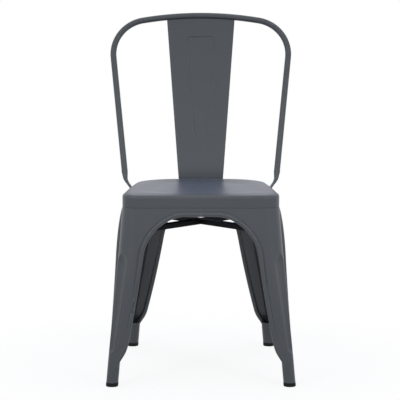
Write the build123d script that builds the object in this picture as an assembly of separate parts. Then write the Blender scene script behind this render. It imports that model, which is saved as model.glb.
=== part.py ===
from build123d import *
from math import asin, atan2, cos, radians, sin, sqrt, tan
import os

os.makedirs("parts", exist_ok=True)

# Café chair of pressed sheet steel, in millimetres.
# The origin is on the floor under the middle of the chair. The chair faces -Y.
# Left and right are as seen by someone who faces the chair's front.

# Whole chair
overall_height = 849.0
overall_depth = 514.0
sheet = 1.2                    # thickness of the pressed steel
seat_height = 445.0            # the flat of the seat, carried on to its front
seat_fall = 3.0                # how much lower the seat is at its rear
skirt_depth = 31.6             # from the seat's top down to the tops of the legs
seam_gap = 0.06                # gap between the pressings where they are welded
skirt_gap = 0.4                # gap between the seat's skirt and the legs
fit_gap = 0.3                  # gap between pieces that lie on each other
overrun = 30.0                 # how far a cut runs past what it cuts

# Plan of the seat and of the tops of the legs, corners taken sharp
front_splay = 41.0             # how far the front feet stand ahead of the seat
seat_depth = 357.0
seat_front_half = 186.0
seat_middle_half = 170.5
seat_rear_half = 149.5
front_corner_radius = 36.0
rear_corner_radius = 105.0

# Feet
foot_radius = 14.15            # the leg closes to a round tube of this radius
front_foot_half = 206.7
rear_foot_half = 174.3
cap_radius = 14.4
cap_height = 9.0
cap_round = 2.0
stem_height = 24.0             # top of the plug inside the tube
stem_slip = 0.15
front_tube_top = 60.0          # height where the tube opens into the channel
rear_tube_top = 64.0
tube_step = 0.1                # step between the closing wall and the corner it meets

# Flute pressed into the corner of each leg
flute_top_drop = 125.4         # from the tops of the legs
flute_foot = 93.0
flute_top_radius = 40.0
flute_foot_radius = 17.0
flute_top_depth = 8.0
flute_foot_depth = 5.0
break_drop = 113.4             # from the tops of the legs to where the corner tightens
rear_break_radius = 60.0

# Rolled edge of the arches, and the width of the leg's faces up to its middle
roll_radius = 5.5
crown_drop = 13.9              # from the tops of the legs
roll_stand_crown = 5.2         # how far the roll's middle stands out at the crown
roll_sink_fade = 4.0           # and how far it lies behind the face where it fades
roll_fade_height = 90.0
crown_flat = 39.0
crown_turn_run = 26.0
crown_turn_drop = 4.9
knee_drop = 99.5               # from the crown
knee_width = 56.4
rear_crown_flat = 27.0
rear_turn_run = 48.0
rear_turn_drop = 32.5
rear_knee_drop = 114.5
rear_knee_width = 61.8
front_ankle_height = 98.0
front_ankle_width = 39.6
front_shoulder_height = 71.0
front_shoulder_width = 30.4
front_join_height = 42.0
rear_ankle_height = 98.0
rear_ankle_width = 37.6
rear_shoulder_height = 74.0
rear_shoulder_width = 28.6
rear_join_height = 52.0
join_reach = 4.0               # how far from the tube's axis the roll ends
tangent_strip = 1.0            # flat left beside the tube where the arch is cut

# Upper flange of each leg, inside the seat's skirt
flange_height = 16.0

# Seat pan
seat_roll = 8.0
nose_run = 42.0                # how far behind its front the seat begins to curve down
nose_fall = 3.0                # and how much lower it is there than flat
dish_depth = 3.0
dish_rim = 32.0
dish_back = 10.0               # how far the dish lies behind the middle of the seat
dish_slope_run = 30.0
dish_corner_radius = 45.0
hole_diameter = 7.0
hole_ring_radius = 50.0
hole_ring_from_rear = 120.0
hole_count = 6

# Cross brace
brace_width = 22.0
brace_height = 11.5
brace_sheet = 1.5
brace_drop = 62.5              # from the tops of the legs to its underside
brace_lap_gap = 0.2

# Back hoop, in its own leaning plane
hoop_tube_radius = 7.5
hoop_tube_wall = 1.2
hoop_low_rise = 5.0            # the plane passes this far above the seat's front
hoop_low_from_front = 318.0    # and this far behind it
hoop_lean = 19.24              # degrees
hoop_crown_radius = 856.0
hoop_corner_radius = 88.0
hoop_side_high_drop = 114.0    # from the top of the chair
hoop_side_high_half = 217.3
hoop_side_low_rise = 36.0      # above the seat
hoop_side_low_half = 189.6

# Lower ends of the hoop, pressed flat to lap over the rear legs
press_start_rise = 21.0        # above the seat
press_run = 46.0               # length over which the tube becomes flat
neck_sections = 9
hoop_bend_drop = 1.0           # below the seat's top
hoop_bend_half = 185.6
hoop_hip_drop = 18.5
hoop_hip_half = 172.8
hoop_bend_radius = 30.0
lap_share = 0.5                # of the way from the hip to the leg, where the strap begins
strap_width = 20.0
strap_thickness = 4.8
strap_swell = 0.15             # left in the flattened faces
strap_turn = 20.0              # degrees that the strap is twisted to lie on the leg
strap_touch_drop = 7.4         # from the tops of the legs
strap_end_drop = 29.4
strap_bend_radius = 14.0
strap_bite = 0.4               # cut away again where the strap fits the leg

# Splat
splat_foot_rise = 0.6          # above the tops of the legs
splat_bend_rise = 17.0         # above the seat's front
splat_bend_radius = 120.0
splat_foot_half = 53.0         # half width at the foot
splat_top_half = 85.4          # half width where it meets the tube
splat_ahead = 3.0              # how far its face lies ahead of the hoop's middle
splat_hem = 6.5

# Groove pressed into the splat's face, up one side, across and down the other
groove_top_drop = 61.0         # from the top of the chair
groove_middle_drop = 158.0
groove_foot_rise = 79.0        # above the seat
groove_top_half = 32.2
groove_middle_half = 29.6
groove_foot_half = 14.8
groove_corner_radius = 8.0
groove_radius = 4.0            # of its round section
groove_depth = 1.2

# Rivets
rivet_shank = 6.0
rivet_head = 12.0
rivet_head_height = 2.6
rivet_hole_gap = 0.1
rivet_tail_gap = 1.0           # lets a flat tail lie on the leg's curved inner face
hoop_rivet_drop = 18.4         # from the tops of the legs
splat_rivet_half = 30.0
splat_rivet_rise = 8.6         # above the tops of the legs

# Worked out from the sizes above
skirt_foot = seat_height - skirt_depth
corner_break = skirt_foot - break_drop
flute_top = skirt_foot - flute_top_drop
crown_height = skirt_foot - crown_drop
brace_foot = skirt_foot - brace_drop
hoop_low_height = seat_height + hoop_low_rise
press_start_height = seat_height + press_start_rise
splat_foot_height = skirt_foot + splat_foot_rise
splat_bend_height = seat_height + splat_bend_rise
front_foot_y = -overall_depth / 2 + cap_radius
rear_foot_y = overall_depth / 2 - cap_radius
seat_front_y = -overall_depth / 2 + front_splay
seat_rear_y = seat_front_y + seat_depth
seam_y = seat_front_y + seat_depth / 2
lean = radians(hoop_lean)


# The lines that a right-hand leg follows from the floor to the seat
class Leg:
    def __init__(self, end, seat, foot, radii, tube_top, ankle, shoulder, join):
        self.end = end         # -1 for a front leg, 1 for a rear leg
        self.slope = abs(seat[0] - seat_middle_half) / (seat_depth / 2)
        stretch = sqrt(1 + self.slope ** 2)
        self.top = Vector(*seat)
        self.foot = Vector(foot[0] + foot_radius * (stretch - end * self.slope), foot[1] + end * foot_radius)
        self.inward = Vector(-1, 0)
        self.along = Vector(end * self.slope, -end) / stretch
        self.top_radius, self.break_radius = radii
        self.tube_top = tube_top
        self.tube_run = foot_radius / tan(radians(self.inward.get_angle(self.along)) / 2)
        self.ankle, self.shoulder, self.join = ankle, shoulder, join

    # The corner as if it were sharp
    def corner(self, z):
        flat = self.foot + (self.top - self.foot) * (z / skirt_foot)
        return Vector(flat.X, flat.Y, z)

    def radius(self, z):
        if z <= self.tube_top:
            return foot_radius
        if z <= corner_break:
            share = (z - self.tube_top) / (corner_break - self.tube_top)
            return foot_radius + (self.break_radius - foot_radius) * share
        share = (z - corner_break) / (skirt_foot - corner_break)
        return self.break_radius + (self.top_radius - self.break_radius) * share

    # Start on the end face, middle, finish on the side face, and centre
    def arc(self, z, inset=0.0, radius=None):
        angle = radians(self.inward.get_angle(self.along))
        bisector = (self.inward + self.along).normalized()
        tip = self.corner(z) + (self.inward + self.along) * (inset / sin(angle))
        if radius is None:
            radius = self.radius(z) - inset
        centre = tip + bisector * (radius / sin(angle / 2))
        run = radius / tan(angle / 2)
        return tip + self.inward * run, centre - bisector * radius, tip + self.along * run, centre

    # A point of the side face at a depth and height
    def side(self, y, z, inset=0.0):
        _, _, finish, centre = self.arc(z, inset)
        if (y - finish.Y) * self.end <= 0:
            return Vector(finish.X + self.along.X / self.along.Y * (y - finish.Y), y, z)
        return Vector(centre.X + sqrt((self.radius(z) - inset) ** 2 - (y - centre.Y) ** 2), y, z)


front = Leg(
    end=-1,
    seat=(seat_front_half, seat_front_y),
    foot=(front_foot_half, front_foot_y),
    radii=(front_corner_radius, front_corner_radius),
    tube_top=front_tube_top,
    ankle=(front_ankle_height, front_ankle_width),
    shoulder=(front_shoulder_height, front_shoulder_width),
    join=front_join_height,
)
rear = Leg(
    end=1,
    seat=(seat_rear_half, seat_rear_y),
    foot=(rear_foot_half, rear_foot_y),
    radii=(rear_corner_radius, rear_break_radius),
    tube_top=rear_tube_top,
    ankle=(rear_ankle_height, rear_ankle_width),
    shoulder=(rear_shoulder_height, rear_shoulder_width),
    join=rear_join_height,
)


# Quarter of the chair's outline at a height, stopping past the seams by a length
def quarter_wire(leg, z, inset, past):
    start, middle, finish, _ = leg.arc(z, inset)
    seam = leg.side(seam_y - leg.end * past, z, inset)
    near = Vector(-past, start.Y, z)
    far = Vector(-past, seam.Y, z)
    return Wire([
        Line(near, start),
        ThreePointArc(start, middle, finish),
        Line(finish, seam),
        Line(seam, far),
        Line(far, near),
    ])


def quarter_block(leg, inset, past):
    heights = (cap_height, leg.tube_top, corner_break, skirt_foot)
    return Solid.make_loft([quarter_wire(leg, z, inset, past) for z in heights], ruled=True)


def quarter_prism(leg, inset, low, high):
    face = Face(quarter_wire(leg, skirt_foot, inset, -seam_gap / 2))
    return Pos(0, 0, low - skirt_foot) * extrude(face, high - low, dir=(0, 0, 1))


# Long groove with round ends that lies along a corner
def flute(leg, grow):
    ends = []
    for z, radius, depth in (
        (flute_foot, flute_foot_radius, flute_foot_depth),
        (flute_top, flute_top_radius, flute_top_depth),
    ):
        _, middle, _, centre = leg.arc(z)
        ends.append(middle + (middle - centre).normalized() * (radius - depth))
    axis = ends[1] - ends[0]
    low, high, length = flute_foot_radius + grow, flute_top_radius + grow, axis.length
    slant = sqrt(0.5)
    profile = Face(Wire([
        Line((0, 0, length + high), (0, 0, -low)),
        ThreePointArc((0, 0, -low), (low * slant, 0, -low * slant), (low, 0, 0)),
        Line((low, 0, 0), (high, 0, length)),
        ThreePointArc((high, 0, length), (high * slant, 0, length + high * slant), (0, 0, length + high)),
    ]))
    return Plane(ends[0], z_dir=axis) * revolve(profile, Axis.Z, 360)


def fluted_block(leg, inset, past):
    return quarter_block(leg, inset, past) - flute(leg, inset)


# How far the roll's middle stands out from the face at a height
def roll_stand(z):
    share = (crown_height - z) / (crown_height - roll_fade_height)
    return roll_stand_crown - (roll_stand_crown + roll_sink_fade) * share


# The plane of an arch, with its origin on the seam at the crown
def arch_plane(leg, on_side):
    if on_side:
        run = leg.along * -1
        out = Vector(-leg.end * leg.along.Y, leg.end * leg.along.X)
        foot, crown = (leg.side(seam_y, z) + out * roll_stand(z) for z in (leg.join, crown_height))
    else:
        run = Vector(1, 0)
        out = Vector(0, leg.end)
        foot, crown = (Vector(0, leg.corner(z).Y, z) + out * roll_stand(z) for z in (leg.join, crown_height))
    rise = crown - foot
    rise = (rise - run * rise.dot(run)).normalized()
    return Plane(crown, x_dir=run, z_dir=run.cross(rise)), rise


# The middle line of an arch's rolled edge, as edges in the arch's plane
def arch_edges(leg, on_side):
    plane, rise = arch_plane(leg, on_side)
    flat, run, drop = crown_flat, crown_turn_run, crown_turn_drop
    knee = (crown_height - knee_drop, knee_width)
    if leg is rear and not on_side:
        flat, run, drop = rear_crown_flat, rear_turn_run, rear_turn_drop
        knee = (crown_height - rear_knee_drop, rear_knee_width)

    def at(z, width):
        reach = (leg.corner(z) - plane.origin).dot(plane.x_dir) - width
        return Vector(reach, (z - crown_height) / rise.Z)

    turn = Vector(flat + run, -drop)
    edges = [Line((seam_gap / 2, 0), (flat, 0)), TangentArc((flat, 0), turn, tangent=(1, 0))]
    for height, width in (knee, leg.ankle, leg.shoulder, (leg.join, foot_radius + join_reach)):
        last = edges[-1]
        edges.append(TangentArc(last @ 1, at(height, width), tangent=last % 1))
    beside = at(leg.join, leg.tube_run + tangent_strip)
    ground = at(-overrun, leg.tube_run + tangent_strip)
    return plane, edges, beside, ground


def roll(plane, edges, radius):
    path = Wire([plane * edge for edge in edges])
    section = Plane(path @ 0, z_dir=path % 0) * Circle(radius)
    return sweep(section, path=path)


def arch_cut(plane, edges, beside, ground):
    start, stop = edges[0] @ 0, edges[-1] @ 1
    outline = Wire(edges + [
        Line(stop, beside),
        Line(beside, ground),
        Line(ground, (-overrun, ground.Y)),
        Line((-overrun, ground.Y), (-overrun, 0)),
        Line((-overrun, 0), start),
    ])
    return extrude(plane * Face(outline), overrun, both=True)


# Round bar or bore that follows the leg between two heights above the foot
def foot_bar(leg, radius, low, high):
    rings = []
    for z in (low, high):
        centre = leg.arc(z, radius=foot_radius)[3]
        rings.append(Wire([Pos(centre.X, centre.Y, z) * Edge.make_circle(radius)]))
    return Solid.make_loft(rings, ruled=True)


tube_outer = foot_radius - tube_step
tube_inner = tube_outer - sheet


def right_leg(leg):
    shell = fluted_block(leg, 0, -seam_gap / 2) - fluted_block(leg, sheet, overrun)
    arches = [arch_edges(leg, on_side) for on_side in (False, True)]
    for plane, edges, beside, ground in arches:
        shell = shell - arch_cut(plane, edges, beside, ground)
    tube = foot_bar(leg, tube_outer, cap_height, leg.tube_top)
    shell = shell + (tube - foot_bar(leg, tube_inner, cap_height, leg.tube_top))
    for plane, edges, _, _ in arches:
        shell = shell + roll(plane, edges, roll_radius)
    for plane, edges, _, _ in arches:
        shell = shell - roll(plane, edges, roll_radius - sheet)
    outer, inner = sheet + fit_gap, 2 * sheet + fit_gap
    low, high = skirt_foot - sheet, skirt_foot + flange_height
    ledge = quarter_prism(leg, 0, low, skirt_foot) - quarter_prism(leg, inner, low, skirt_foot)
    flange = quarter_prism(leg, outer, low, high) - quarter_prism(leg, inner, low, high)
    whole = shell + ledge + flange
    if leg is rear:
        whole = whole - rivet_hole(strap_rivet_plane()) - rivet_hole(splat_rivet_planes()[1])
    return whole.solids().sort_by(SortBy.VOLUME)[-1]


# Rubber foot: a collar as wide as the tube, and a plug inside it
def rubber_foot(leg):
    collar = foot_bar(leg, cap_radius, 0, cap_height)
    collar = fillet(collar.faces().sort_by(Axis.Z)[0].edges(), cap_round)
    return collar + foot_bar(leg, tube_inner - stem_slip, cap_height, stem_height)


# Outline of the whole seat
def seat_wire(z, inset, front_radius=None, rear_radius=None):
    ahead = front.arc(skirt_foot, inset, front_radius)
    behind = rear.arc(skirt_foot, inset, rear_radius)
    side = Vector(ahead[2].X + front.along.X / front.along.Y * (seam_y - ahead[2].Y), seam_y)

    def right(point):
        return Vector(point.X, point.Y, z)

    def left(point):
        return Vector(-point.X, point.Y, z)

    return Wire([
        Line(left(ahead[0]), right(ahead[0])),
        ThreePointArc(right(ahead[0]), right(ahead[1]), right(ahead[2])),
        Line(right(ahead[2]), right(side)),
        Line(right(side), right(behind[2])),
        ThreePointArc(right(behind[2]), right(behind[1]), right(behind[0])),
        Line(right(behind[0]), left(behind[0])),
        ThreePointArc(left(behind[0]), left(behind[1]), left(behind[2])),
        Line(left(behind[2]), left(side)),
        Line(left(side), left(ahead[2])),
        ThreePointArc(left(ahead[2]), left(ahead[1]), left(ahead[0])),
    ])


def seat_top_plane(lower):
    return Plane((0, seat_front_y, seat_height - lower), x_dir=(1, 0, 0), z_dir=(0, seat_fall, seat_depth))


# All that lies below the seat's top, which curves down towards the front
def seat_side_view(inset):
    radius = (nose_run ** 2 + nose_fall ** 2) / (2 * nose_fall) - inset
    turn = asin((nose_run + overrun) / radius)
    arc = [(nose_run - radius * sin(angle), radius * cos(angle) - radius) for angle in (0, turn / 2, turn)]
    behind = (seat_depth + overrun, 0)
    low = -skirt_depth - 3 * overrun
    outline = Wire([
        ThreePointArc(*arc),
        Line(arc[2], (arc[2][0], low)),
        Line((arc[2][0], low), (behind[0], low)),
        Line((behind[0], low), behind),
        Line(behind, arc[0]),
    ])
    face = seat_top_plane(inset).location * (Plane.YZ * Face(outline))
    return extrude(face, seat_depth, both=True)


def seat_block(inset, low):
    block = extrude(Face(seat_wire(low, inset)), seat_height + overrun - low, dir=(0, 0, 1))
    block = block & seat_side_view(inset)
    nose, flat = (face for face in block.faces() if face.normal_at().Z > sqrt(0.5))
    shared = nose.edges() & flat.edges()
    rim = [edge for edge in nose.edges() + flat.edges() if edge not in shared]
    return fillet(rim, seat_roll - inset)


# Shallow pressed dish, as a solid to cut away
def seat_dish(lower):
    wires = []
    for side in (1, -1):
        inset = dish_rim - side * dish_slope_run
        wires.append(seat_wire(side * dish_depth, inset, dish_corner_radius, rear_corner_radius - dish_rim))
    tool = Solid.make_loft(wires, ruled=True)
    level = Plane((0, seat_front_y, 0), x_dir=(1, 0, 0), z_dir=(0, 0, 1))
    tilted = seat_top_plane(lower)
    return tilted.location * level.location.inverse() * (Pos(0, dish_back) * tool)


def seat_pan():
    low = skirt_foot + skirt_gap
    pan = seat_block(0, low) - seat_dish(0)
    pan = pan - (seat_block(sheet, low - overrun) - seat_dish(sheet))
    ring_y = seat_rear_y - hole_ring_from_rear
    holes = [Pos(0, ring_y) * loc for loc in PolarLocations(hole_ring_radius, hole_count, start_angle=90)]
    for hole in holes:
        pan = pan - Pos(0, 0, seat_height) * hole * Cylinder(hole_diameter / 2, overrun)
    for plane in splat_rivet_planes():
        pan = pan - rivet_hole(plane)
    return pan


# One bar of the cross brace, from a front right corner to a rear left corner
def brace_bar(open_down):
    start = front.arc(brace_foot)[1]
    stop = rear.arc(brace_foot)[1]
    stop = Vector(-stop.X, stop.Y, brace_foot)
    run = (stop - start).normalized()
    middle = start + run * (start.X / -run.X)
    length = (stop - start).length + overrun
    lower = brace_foot + brace_height / 2
    centre = (start + stop) * 0.5
    frame = Plane(Vector(centre.X, centre.Y, lower), x_dir=run, z_dir=(0, 0, 1))
    body = Box(length, brace_width, brace_height)
    shift = -brace_sheet if open_down else brace_sheet
    body = body - Pos(0, 0, shift) * Box(length, brace_width - 2 * brace_sheet, brace_height)
    body = frame * body
    other = Plane(Vector(middle.X, middle.Y, lower), x_dir=Vector(-run.X, run.Y, 0), z_dir=(0, 0, 1))
    notch = Box(length, brace_width + 2 * brace_lap_gap, brace_height)
    half = -brace_height / 2 + brace_lap_gap / 2 if open_down else brace_height / 2 - brace_lap_gap / 2
    body = body - other * (Pos(0, 0, half) * notch)
    past = seat_depth / 3
    room = sheet + fit_gap
    at_front = body & quarter_block(front, room, past)
    at_rear = body & mirror(quarter_block(rear, room, past), about=Plane.YZ)
    return at_front + at_rear


# Places on the hoop's plane, by half width and height
hoop_plane = Plane(
    (0, seat_front_y + hoop_low_from_front, hoop_low_height),
    x_dir=(1, 0, 0),
    z_dir=(0, -cos(lean), sin(lean)),
)


def hoop_y(z):
    return hoop_plane.origin.Y + (z - hoop_low_height) * tan(lean)


def on_hoop(half, z):
    return Vector(half, (z - hoop_low_height) / cos(lean))


hoop_high = on_hoop(hoop_side_high_half, overall_height - hoop_side_high_drop)
hoop_low = on_hoop(hoop_side_low_half, seat_height + hoop_side_low_rise)
hoop_up = (hoop_high - hoop_low).normalized()
press_start = hoop_low - hoop_up * ((hoop_low.Y - on_hoop(0, press_start_height).Y) / hoop_up.Y)


def hoop_path():
    inward = Vector(-hoop_up.Y, hoop_up.X)
    crown_top = on_hoop(0, overall_height - hoop_tube_radius)
    crown_centre = crown_top - Vector(0, hoop_crown_radius)
    base = hoop_high + inward * hoop_corner_radius - crown_centre
    reach = hoop_crown_radius - hoop_corner_radius
    run = -base.dot(hoop_up) + sqrt(base.dot(hoop_up) ** 2 - base.dot(base) + reach ** 2)
    centre = crown_centre + base + hoop_up * run
    on_crown = crown_centre + (centre - crown_centre).normalized() * hoop_crown_radius
    on_side = centre - inward * hoop_corner_radius
    bulge = ((on_crown - centre).normalized() + (on_side - centre).normalized()).normalized()
    corner = centre + bulge * hoop_corner_radius

    def left(point):
        return Vector(-point.X, point.Y)

    edges = [
        Line(left(press_start), left(on_side)),
        ThreePointArc(left(on_side), left(corner), left(on_crown)),
        ThreePointArc(left(on_crown), crown_top, on_crown),
        ThreePointArc(on_crown, corner, on_side),
        Line(on_side, press_start),
    ]
    return Wire([hoop_plane * edge for edge in edges])


# Across the strap's flat, and square to it, for a direction down the tube
def strap_axes(direction, turn):
    ahead = hoop_plane.z_dir
    out = ahead.cross(direction).normalized()
    angle = radians(turn)
    return ahead * cos(angle) + out * sin(angle), out * cos(angle) - ahead * sin(angle)


# Section of the hoop's end, round at a press of 0 and flat at a press of 1
def end_section(origin, direction, press, turn):
    plane = Plane(origin, x_dir=strap_axes(direction, turn)[0], z_dir=direction)
    slant = hoop_tube_radius * sqrt(0.5)

    def between(when_round, when_flat):
        return when_round + (when_flat - when_round) * press

    wide = between(hoop_tube_radius, strap_width / 2)
    deep = between(hoop_tube_radius, strap_thickness / 2 + strap_swell)
    a = between(slant, (strap_width - strap_thickness) / 2)
    b = between(slant, strap_thickness / 2)
    return plane * Face(Wire([
        ThreePointArc((-a, b), (0, deep), (a, b)),
        ThreePointArc((a, b), (wide, 0), (a, -b)),
        ThreePointArc((a, -b), (0, -deep), (-a, -b)),
        ThreePointArc((-a, -b), (-wide, 0), (-a, b)),
    ]))


# Point on the strap's middle line where it lies on the rear leg
def strap_place(z):
    surface = rear.side(hoop_y(z), z)
    stand = (strap_thickness / 2 - strap_bite) / cos(radians(strap_turn))
    return on_hoop(surface.X + stand, z)


def hoop_end():
    bend = on_hoop(hoop_bend_half, seat_height - hoop_bend_drop)
    hip = on_hoop(hoop_hip_half, seat_height - hoop_hip_drop)
    touch = strap_place(skirt_foot - strap_touch_drop)
    tip = strap_place(skirt_foot - strap_end_drop)
    lap = hip + (touch - hip) * lap_share
    neck_path = hoop_plane * FilletPolyline(press_start, bend, hip, lap, radius=hoop_bend_radius)
    wires = []
    for step in range(neck_sections):
        share = step / (neck_sections - 1)
        pressed = min(1, share * neck_path.length / press_run)
        press = pressed ** 2 * (3 - 2 * pressed)
        section = end_section(neck_path @ share, neck_path % share, press, strap_turn * share)
        wires.append(section.outer_wire())
    neck = Solid.make_loft(wires, ruled=False)
    strap_path = hoop_plane * FilletPolyline(lap, touch, tip, radius=strap_bend_radius)
    strap = sweep(end_section(strap_path @ 0, strap_path % 0, 1, strap_turn), path=strap_path)
    return neck + strap - quarter_block(rear, -fit_gap, overrun)


# On the outer face of the right strap, with Z out along its rivet
def strap_rivet_plane():
    height = skirt_foot - hoop_rivet_drop
    ends = [strap_place(height + step) for step in (rivet_shank, -rivet_shank)]
    high, low = (hoop_plane.from_local_coords(end) for end in ends)
    _, out = strap_axes((low - high).normalized(), strap_turn)
    centre = hoop_plane.from_local_coords(strap_place(height))
    return Plane(centre + out * (strap_thickness / 2 + strap_swell), x_dir=low - high, z_dir=out)


def back_hoop():
    path = hoop_path()
    start = Plane(path @ 0, z_dir=path % 0)
    tube = sweep(start * Circle(hoop_tube_radius), path=path)
    tube = tube - sweep(start * Circle(hoop_tube_radius - hoop_tube_wall), path=path)
    end = hoop_end() - rivet_hole(strap_rivet_plane())
    return tube + end + mirror(end, about=Plane.YZ)


# Side view of the splat: its front face, and how far it leans above the bend
splat_foot_y = seat_rear_y + fit_gap
splat_top_z = overall_height - hoop_tube_radius
splat_top_y = hoop_y(splat_top_z) - splat_ahead
splat_lean = atan2(splat_top_y - splat_foot_y, splat_top_z - splat_bend_height)
splat_plane = Plane(
    (0, splat_foot_y, splat_bend_height),
    x_dir=(1, 0, 0),
    z_dir=(0, -cos(splat_lean), sin(splat_lean)),
)


# Line up the splat at a depth behind its front face
def splat_line(depth):
    drop = depth * tan(splat_lean / 2)
    return FilletPolyline(
        (splat_foot_y + depth, splat_foot_height),
        (splat_foot_y + depth, splat_bend_height - drop),
        (splat_top_y + depth * cos(splat_lean), splat_top_z - depth * sin(splat_lean)),
        radius=splat_bend_radius - depth,
    )


def splat_slab(near, far):
    ahead, behind = splat_line(near), splat_line(far)
    ends = [Line(ahead @ 0, behind @ 0), Line(ahead @ 1, behind @ 1)]
    outline = Wire([*ahead.edges(), *behind.edges(), *ends])
    return extrude(Plane.YZ * Face(outline), splat_top_half, both=True)


# Front view of the splat, as a block
def splat_taper(inset, past):
    low, high = splat_foot_height - past, splat_top_z
    rate = (splat_top_half - splat_foot_half) / (high - splat_foot_height)
    half_low = splat_foot_half - rate * past - inset
    half_high = splat_top_half - inset
    outline = Polygon(
        (-half_low, low), (half_low, low), (half_high, high), (-half_high, high), align=None
    )
    return extrude(Plane.XZ * outline, overall_depth, both=True)


def on_splat(half, z):
    return Vector(half, (z - splat_bend_height) / cos(splat_lean))


# The groove's round section swept along it, with round ends, as a list of solids
def groove_tools(behind):
    right = [
        on_splat(groove_top_half, overall_height - groove_top_drop),
        on_splat(groove_middle_half, overall_height - groove_middle_drop),
        on_splat(groove_foot_half, seat_height + groove_foot_rise),
    ]
    left = [Vector(-point.X, point.Y) for point in reversed(right)]
    ahead = Pos(0, 0, groove_radius - groove_depth - behind)
    path = splat_plane * (ahead * FilletPolyline(*left, *right, radius=groove_corner_radius))
    bar = sweep(Plane(path @ 0, z_dir=path % 0) * Circle(groove_radius), path=path)
    return [bar] + [Pos(path @ end) * Sphere(groove_radius) for end in (0, 1)]


def back_splat():
    splat = splat_slab(0, splat_hem) & splat_taper(0, 0)
    splat = splat - (splat_slab(sheet, splat_hem + overrun) & splat_taper(sheet, overrun))
    behind = splat_slab(sheet / 2, splat_hem + sheet)
    for tool in groove_tools(sheet):
        splat = splat + (tool & behind)
    for tool in groove_tools(0):
        splat = splat - tool
    path = hoop_path()
    room = sweep(Plane(path @ 0, z_dir=path % 0) * Circle(hoop_tube_radius + fit_gap), path=path)
    splat = splat - room
    for plane in splat_rivet_planes():
        splat = splat - rivet_hole(plane)
    return splat


def splat_rivet_planes():
    y = splat_foot_y + sheet
    z = skirt_foot + splat_rivet_rise
    return [Plane((x, y, z), x_dir=(1, 0, 0), z_dir=(0, 1, 0)) for x in (-splat_rivet_half, splat_rivet_half)]


def rivet_hole(plane):
    return plane * Cylinder(rivet_shank / 2 + rivet_hole_gap, 2 * overrun)


# Rivet with its head on a plane and its tail formed below
def rivet(plane, grip):
    head, shank, dome = rivet_head / 2, rivet_shank / 2, rivet_head_height
    bow = (head ** 2 + dome ** 2) / (2 * dome)
    half = asin(head / bow) / 2
    shoulder = (bow * sin(half), dome - bow + bow * cos(half))
    tail = (shoulder[0], -grip - shoulder[1])
    profile = Wire([
        Line((0, dome), (0, -grip - dome)),
        ThreePointArc((0, -grip - dome), tail, (head, -grip)),
        Line((head, -grip), (shank, -grip)),
        Line((shank, -grip), (shank, 0)),
        Line((shank, 0), (head, 0)),
        ThreePointArc((head, 0), shoulder, (0, dome)),
    ])
    return plane * revolve(Plane.XZ * Face(profile), Axis.Z, 360)


def hoop_rivets():
    grip = strap_thickness + strap_swell - strap_bite + sheet + rivet_tail_gap
    right = rivet(strap_rivet_plane(), grip)
    return Compound([right, mirror(right, about=Plane.YZ)])


def splat_rivets():
    grip = 3 * sheet + 2 * fit_gap
    return Compound([rivet(plane, grip) for plane in splat_rivet_planes()])


def write(name, shape):
    shape.label = name
    export_step(shape, f"parts/{name}.step")


if __name__ == "__main__":
    for name, leg in (("front", front), ("rear", rear)):
        right = right_leg(leg)
        write(f"{name}_right_leg", right)
        write(f"{name}_left_leg", mirror(right, about=Plane.YZ))
        foot = rubber_foot(leg)
        write(f"{name}_right_foot", foot)
        write(f"{name}_left_foot", mirror(foot, about=Plane.YZ))
    write("seat_pan", seat_pan())
    write("brace_bar_upper", brace_bar(True))
    write("brace_bar_lower", mirror(brace_bar(False), about=Plane.YZ))
    write("back_hoop", back_hoop())
    write("back_splat", back_splat())
    write("hoop_rivets", hoop_rivets())
    write("splat_rivets", splat_rivets())
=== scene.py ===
from math import pi, radians

import bpy
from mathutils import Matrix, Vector


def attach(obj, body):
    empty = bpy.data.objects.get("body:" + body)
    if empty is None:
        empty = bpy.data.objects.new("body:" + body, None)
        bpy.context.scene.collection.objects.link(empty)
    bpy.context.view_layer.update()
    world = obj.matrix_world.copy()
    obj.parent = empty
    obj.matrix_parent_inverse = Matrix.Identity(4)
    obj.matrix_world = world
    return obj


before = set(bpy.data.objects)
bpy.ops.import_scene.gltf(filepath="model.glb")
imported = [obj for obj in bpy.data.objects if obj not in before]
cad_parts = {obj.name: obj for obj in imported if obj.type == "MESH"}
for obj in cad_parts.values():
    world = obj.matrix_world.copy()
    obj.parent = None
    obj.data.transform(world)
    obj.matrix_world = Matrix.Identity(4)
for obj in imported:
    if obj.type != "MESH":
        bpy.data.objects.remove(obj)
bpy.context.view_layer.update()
print("loaded the frame:", len(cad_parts), "nodes")

mm = 0.001


def linearColour(hexCode):
    channels = [int(hexCode[i:i + 2], 16) / 255 for i in (0, 2, 4)]
    linear = [c / 12.92 if c <= 0.04045 else ((c + 0.055) / 1.055) ** 2.4 for c in channels]
    return (*linear, 1.0)


def newMaterial(name):
    material = bpy.data.materials.new(name)
    material.use_nodes = True
    material.node_tree.nodes.clear()
    return material


# Adds one node to a material or the world, with its plain settings, inputs and linked sockets
def addNode(owner, kind, settings=None, inputs=None, links=None):
    node = owner.node_tree.nodes.new(kind)
    for key, value in (settings or {}).items():
        setattr(node, key, value)
    for key, value in (inputs or {}).items():
        node.inputs[key].default_value = value
    for key, socket in (links or {}).items():
        owner.node_tree.links.new(socket, node.inputs[key])
    return node


# Polyester powder coat, baked on steel: dark grey, satin, with a fine leathery ripple
powderCoat = {
    "colour": "43474B",
    "darkColour": "3F4347",     # the film is never quite even
    "patchMm": 90.0,            # how wide its uneven patches are
    "roughness": 0.38,
    "roughnessSpread": 0.04,    # either way, from patch to patch
    "rippleMm": 1.6,            # real ripple is about 0.8 mm, drawn coarser so that it shows
    "rippleHeightMm": 0.02,
    "rippleStrength": 0.35,
    "ior": 1.5,
    "shine": 0.5,
    "paintedSheen": 0.10,              # painted sheen: a cool tint along a low line of sight that stands in for the backdrop's reflection
    "paintedSheenRoughness": 0.3,
    "paintedSheenColour": "A0ACFF",
    "edgeRoundMm": 1.2,         # pressing and paint leave every edge a little round
    "edgeSamples": 6,
}
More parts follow.
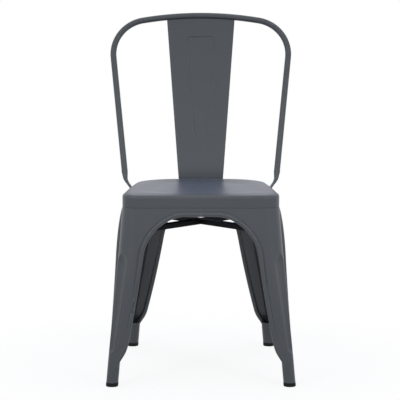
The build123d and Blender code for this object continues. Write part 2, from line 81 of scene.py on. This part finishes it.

# Painted shade: the brace under the seat gets a darker, duller coat that stands in for the seat's
# shadow on it
braceShadeCoat = {"colour": "2B2C2E", "darkColour": "252628", "roughness": 0.6, "shine": 0.15}


def makePowderCoat(name, changes=None):
    coat = dict(powderCoat, **(changes or {}))
    material = newMaterial(name)
    place = addNode(material, "ShaderNodeTexCoord")
    patches = addNode(
        material, "ShaderNodeTexNoise",
        inputs={"Scale": 1 / (coat["patchMm"] * mm), "Detail": 2.0, "Roughness": 0.5},
        links={"Vector": place.outputs["Object"]},
    )
    colour = addNode(
        material, "ShaderNodeMix", {"data_type": "RGBA"},
        inputs={6: linearColour(coat["darkColour"]), 7: linearColour(coat["colour"])},
        links={0: patches.outputs["Fac"]},
    )
    gloss = addNode(
        material, "ShaderNodeMapRange",
        inputs={
            "To Min": coat["roughness"] - coat["roughnessSpread"],
            "To Max": coat["roughness"] + coat["roughnessSpread"],
        },
        links={"Value": patches.outputs["Fac"]},
    )
    ripple = addNode(
        material, "ShaderNodeTexNoise",
        inputs={"Scale": 1 / (coat["rippleMm"] * mm), "Detail": 1.0, "Roughness": 0.4},
        links={"Vector": place.outputs["Object"]},
    )
    softEdge = addNode(
        material, "ShaderNodeBevel", {"samples": coat["edgeSamples"]},
        inputs={"Radius": coat["edgeRoundMm"] * mm},
    )
    bump = addNode(
        material, "ShaderNodeBump",
        inputs={"Strength": coat["rippleStrength"], "Distance": coat["rippleHeightMm"] * mm},
        links={"Height": ripple.outputs["Fac"], "Normal": softEdge.outputs["Normal"]},
    )
    shader = addNode(
        material, "ShaderNodeBsdfPrincipled",
        inputs={
            "Metallic": 0.0,
            "IOR": coat["ior"],
            "Specular IOR Level": coat["shine"],
            # painted reflection: a bluish sheen at low angles, in place of the backdrop seen in
            # the coat
            "Sheen Weight": coat["paintedSheen"],
            "Sheen Roughness": coat["paintedSheenRoughness"],
            "Sheen Tint": linearColour(coat["paintedSheenColour"]),
        },
        links={
            "Base Color": colour.outputs[2],
            "Roughness": gloss.outputs["Result"],
            "Normal": bump.outputs["Normal"],
        },
    )
    addNode(material, "ShaderNodeOutputMaterial", links={"Surface": shader.outputs["BSDF"]})
    return material


# Moulded rubber: near black, dull, a little grey where it is scuffed by the floor
rubber = {
    "colour": "101011",
    "scuffColour": "1C1C1C",
    "scuffShare": 0.8,          # how much of the scuffed grey there is at the floor
    "scuffHeightMm": 3.0,       # where it has faded out
    "roughness": 0.72,
    "ior": 1.52,
    "shine": 0.25,
    "grainMm": 1.0,
    "grainHeightMm": 0.05,
    "grainStrength": 0.5,
}


def makeRubber(name):
    material = newMaterial(name)
    place = addNode(material, "ShaderNodeTexCoord")
    grain = addNode(
        material, "ShaderNodeTexNoise",
        inputs={"Scale": 1 / (rubber["grainMm"] * mm), "Detail": 3.0},
        links={"Vector": place.outputs["Object"]},
    )
    height = addNode(material, "ShaderNodeSeparateXYZ", links={"Vector": place.outputs["Object"]})
    scuff = addNode(
        material, "ShaderNodeMapRange",
        inputs={
            "From Min": 0.0, "From Max": rubber["scuffHeightMm"] * mm,
            "To Min": rubber["scuffShare"], "To Max": 0.0,
        },
        links={"Value": height.outputs["Z"]},
    )
    colour = addNode(
        material, "ShaderNodeMix", {"data_type": "RGBA"},
        inputs={6: linearColour(rubber["colour"]), 7: linearColour(rubber["scuffColour"])},
        links={0: scuff.outputs["Result"]},
    )
    bump = addNode(
        material, "ShaderNodeBump",
        inputs={"Strength": rubber["grainStrength"], "Distance": rubber["grainHeightMm"] * mm},
        links={"Height": grain.outputs["Fac"]},
    )
    shader = addNode(
        material, "ShaderNodeBsdfPrincipled",
        inputs={
            "Roughness": rubber["roughness"], "IOR": rubber["ior"],
            "Specular IOR Level": rubber["shine"],
        },
        links={"Base Color": colour.outputs[2], "Normal": bump.outputs["Normal"]},
    )
    addNode(material, "ShaderNodeOutputMaterial", links={"Surface": shader.outputs["BSDF"]})
    return material


coatMaterial = makePowderCoat("powderCoatGrey")
braceShadeMaterial = makePowderCoat("powderCoatBraceShade", braceShadeCoat)
rubberMaterial = makeRubber("mouldedRubber")
for nodeName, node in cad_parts.items():
    finish = coatMaterial
    # the brace takes the darker coat, painted shade for the seat's shadow
    if nodeName.startswith("brace"):
        finish = braceShadeMaterial
    if nodeName.endswith("_foot"):
        finish = rubberMaterial
    node.data.materials.clear()
    node.data.materials.append(finish)
print("materials made and given")

# Weld beads that join the pressings inside, and the splat to the tube behind, coated with the rest
welds = {
    "radiusMm": 1.1,
    "rippleMm": 2.4,           # from one dip of the torch to the next
    "valley": 0.82,            # share of the radius that is left between two ripples
    "end": 0.6,                # and at both ends of the bead
    "sides": 10,
    "smoothDegrees": 60,
    "runsMm": [                # name, from, to
        ("weldFrontSeam", (0.0, -215.1, 404.8), (0.0, -214.5, 411.4)),
        ("weldRearSeam", (0.0, 141.7, 404.8), (0.0, 139.8, 411.4)),
        ("weldLeftSeam", (-169.5, -37.5, 404.8), (-168.9, -37.5, 411.4)),
        ("weldRightSeam", (169.5, -37.5, 404.8), (168.9, -37.5, 411.4)),
        ("weldSplatLeft", (-52.0, 235.6, 832.6), (-28.0, 235.9, 833.7)),
        ("weldSplatMiddle", (-12.0, 236.0, 834.0), (12.0, 236.0, 834.0)),
        ("weldSplatRight", (28.0, 235.9, 833.7), (52.0, 235.6, 832.6)),
    ],
}


def makeWeld(name, start, end):
    start, end = Vector(start) * mm, Vector(end) * mm
    count = round((end - start).length / (welds["rippleMm"] * mm))
    halfStep = (end - start) / (2 * count)
    bpy.ops.object.select_all(action="DESELECT")
    bpy.ops.mesh.primitive_circle_add(
        vertices=welds["sides"], radius=welds["radiusMm"] * welds["end"] * mm, fill_type="NGON",
        location=start, rotation=halfStep.to_track_quat("Z", "Y").to_euler(),
    )
    bead = bpy.context.object
    bead.name = name
    bpy.ops.object.mode_set(mode="EDIT")
    thickness, place = welds["end"], start
    for ripple in range(count):
        valley = welds["end"] if ripple == count - 1 else welds["valley"]
        for target in (1.0, valley):       # up to the crest, then down again
            place = place + halfStep
            bpy.ops.mesh.extrude_region_move(TRANSFORM_OT_translate={"value": halfStep})
            bpy.ops.transform.resize(value=[target / thickness] * 3, center_override=place)
            thickness = target
    bpy.ops.mesh.select_all(action="SELECT")
    bpy.ops.mesh.normals_make_consistent(inside=False)
    bpy.ops.object.mode_set(mode="OBJECT")
    bpy.ops.object.transform_apply(location=True, rotation=True, scale=True)
    bpy.ops.object.shade_smooth_by_angle(angle=radians(welds["smoothDegrees"]))
    bead.data.materials.append(coatMaterial)
    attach(bead, "root")


for name, start, end in welds["runsMm"]:
    makeWeld(name, start, end)
print("welds made:", len(welds["runsMm"]))

# Studio: white paper that fades into a white distance, one soft lamp above and two in front
studio = {
    "floorSize": 12.0,
    "floorDropMm": 0.2,        # how far the paper lies under the feet
    "floorShade": 0.14,        # how much of the floor's white takes the shadow, near the chair
    "floorWhite": (1.0, 1.0, 1.0, 1),  # comes out a few levels under white under the chair
    "shadeFrom": 0.30,         # metres from the middle of the chair
    "shadeTo": 0.80,
    "worldStrength": 0.66,
    "worldColour": (0.90, 0.96, 1.08, 1),
    "floorBounce": (0.14, 0.11, 0.13, 1),  # what the paper throws back at the chair
    "lampsAimAt": (0, 0, 0.4),
}
lamps = [                      # name, place, size, watts, and how wide its beam is in degrees
    ("sideLeft", (-1.2, -1.7, 1.35), (0.8, 0.8), 1.0, 36),
    ("sideRight", (1.2, -1.7, 1.35), (0.8, 0.8), 1.1, 36),
    ("skyPanel", (0.0, -0.3, 2.4), (2.0, 1.6), 8.0, 180),
]


# One white for what the camera and shiny surfaces see, another light for everything else
def seenDirectly(owner):
    path = addNode(owner, "ShaderNodeLightPath")
    shiny = addNode(
        owner, "ShaderNodeMath", {"operation": "MAXIMUM"},
        links={0: path.outputs["Is Glossy Ray"], 1: path.outputs["Is Transmission Ray"]},
    )
    seen = addNode(
        owner, "ShaderNodeMath", {"operation": "MAXIMUM"},
        links={0: path.outputs["Is Camera Ray"], 1: shiny.outputs["Value"]},
    )
    return seen.outputs["Value"]


def makeFloor():
    bpy.ops.object.select_all(action="DESELECT")
    bpy.ops.mesh.primitive_plane_add(
        size=studio["floorSize"], location=(0, 0, -studio["floorDropMm"] * mm),
    )
    floor = bpy.context.object
    floor.name = "studioFloor"
    material = newMaterial("whitePaperFloor")
    seen = seenDirectly(material)
    place = addNode(material, "ShaderNodeTexCoord")
    reach = addNode(
        material, "ShaderNodeVectorMath", {"operation": "LENGTH"},
        links={0: place.outputs["Object"]},
    )
    fade = addNode(
        material, "ShaderNodeMapRange", {"interpolation_type": "SMOOTHSTEP"},
        inputs={
            "From Min": studio["shadeFrom"], "From Max": studio["shadeTo"],
            "To Min": 1 - studio["floorShade"], "To Max": 1.0,
        },
        links={"Value": reach.outputs["Value"]},
    )
    paper = addNode(material, "ShaderNodeBsdfDiffuse", inputs={"Color": studio["floorBounce"]})
    plain = addNode(material, "ShaderNodeEmission", inputs={"Strength": 1.0})
    shaded = addNode(material, "ShaderNodeBsdfDiffuse", inputs={"Color": studio["floorWhite"]})
    shown = addNode(
        material, "ShaderNodeMixShader",
        links={0: fade.outputs["Result"], 1: shaded.outputs["BSDF"], 2: plain.outputs["Emission"]},
    )
    mixed = addNode(
        material, "ShaderNodeMixShader",
        links={0: seen, 1: paper.outputs["BSDF"], 2: shown.outputs["Shader"]},
    )
    addNode(material, "ShaderNodeOutputMaterial", links={"Surface": mixed.outputs["Shader"]})
    floor.data.materials.append(material)


def makeWorld():
    world = bpy.data.worlds.new("paleStudio")
    bpy.context.scene.world = world
    world.use_nodes = True
    world.node_tree.nodes.clear()
    seen = seenDirectly(world)
    soft = addNode(
        world, "ShaderNodeBackground",
        inputs={"Color": studio["worldColour"], "Strength": studio["worldStrength"]},
    )
    white = addNode(world, "ShaderNodeBackground", inputs={"Color": (1, 1, 1, 1), "Strength": 1.0})
    mixed = addNode(
        world, "ShaderNodeMixShader",
        links={0: seen, 1: soft.outputs["Background"], 2: white.outputs["Background"]},
    )
    addNode(world, "ShaderNodeOutputWorld", links={"Surface": mixed.outputs["Shader"]})


def addLamp(name, place, target, size, watts, beam):
    lamp = bpy.data.lights.new(name, "AREA")
    lamp.shape = "RECTANGLE"
    lamp.size, lamp.size_y = size
    lamp.energy = watts
    lamp.spread = radians(beam)
    holder = bpy.data.objects.new(name, lamp)
    holder.location = place
    holder.visible_glossy = False  # shiny surfaces show the white backdrop alone
    holder.rotation_euler = (Vector(target) - Vector(place)).to_track_quat("-Z", "Y").to_euler()
    bpy.context.scene.collection.objects.link(holder)


makeFloor()
makeWorld()
for name, place, size, watts, beam in lamps:
    addLamp(name, place, studio["lampsAimAt"], size, watts, beam)

# Camera where the photograph was taken from, in front of the chair and above its back
view = {
    "aside": -2.0 * mm,
    "distance": 4910.8 * mm,
    "height": 1020.2 * mm,
    "tiltDown": 7.132,         # degrees
    "focalPixels": 2046.3,     # for a frame 400 pixels wide
    "framePixels": 400,
    "sensorMm": 36.0,
    "farClip": 50.0,           # metres
}


def makeCamera():
    camera = bpy.data.cameras.new("camera")
    camera.sensor_width = view["sensorMm"]
    camera.lens = view["focalPixels"] / view["framePixels"] * camera.sensor_width
    camera.clip_end = view["farClip"]
    holder = bpy.data.objects.new("camera", camera)
    holder.location = (view["aside"], -view["distance"], view["height"])
    holder.rotation_euler = (pi / 2 - radians(view["tiltDown"]), 0, 0)
    bpy.context.scene.collection.objects.link(holder)
    bpy.context.scene.camera = holder


makeCamera()
bpy.context.scene.view_settings.view_transform = "Standard"
print("studio and camera set")
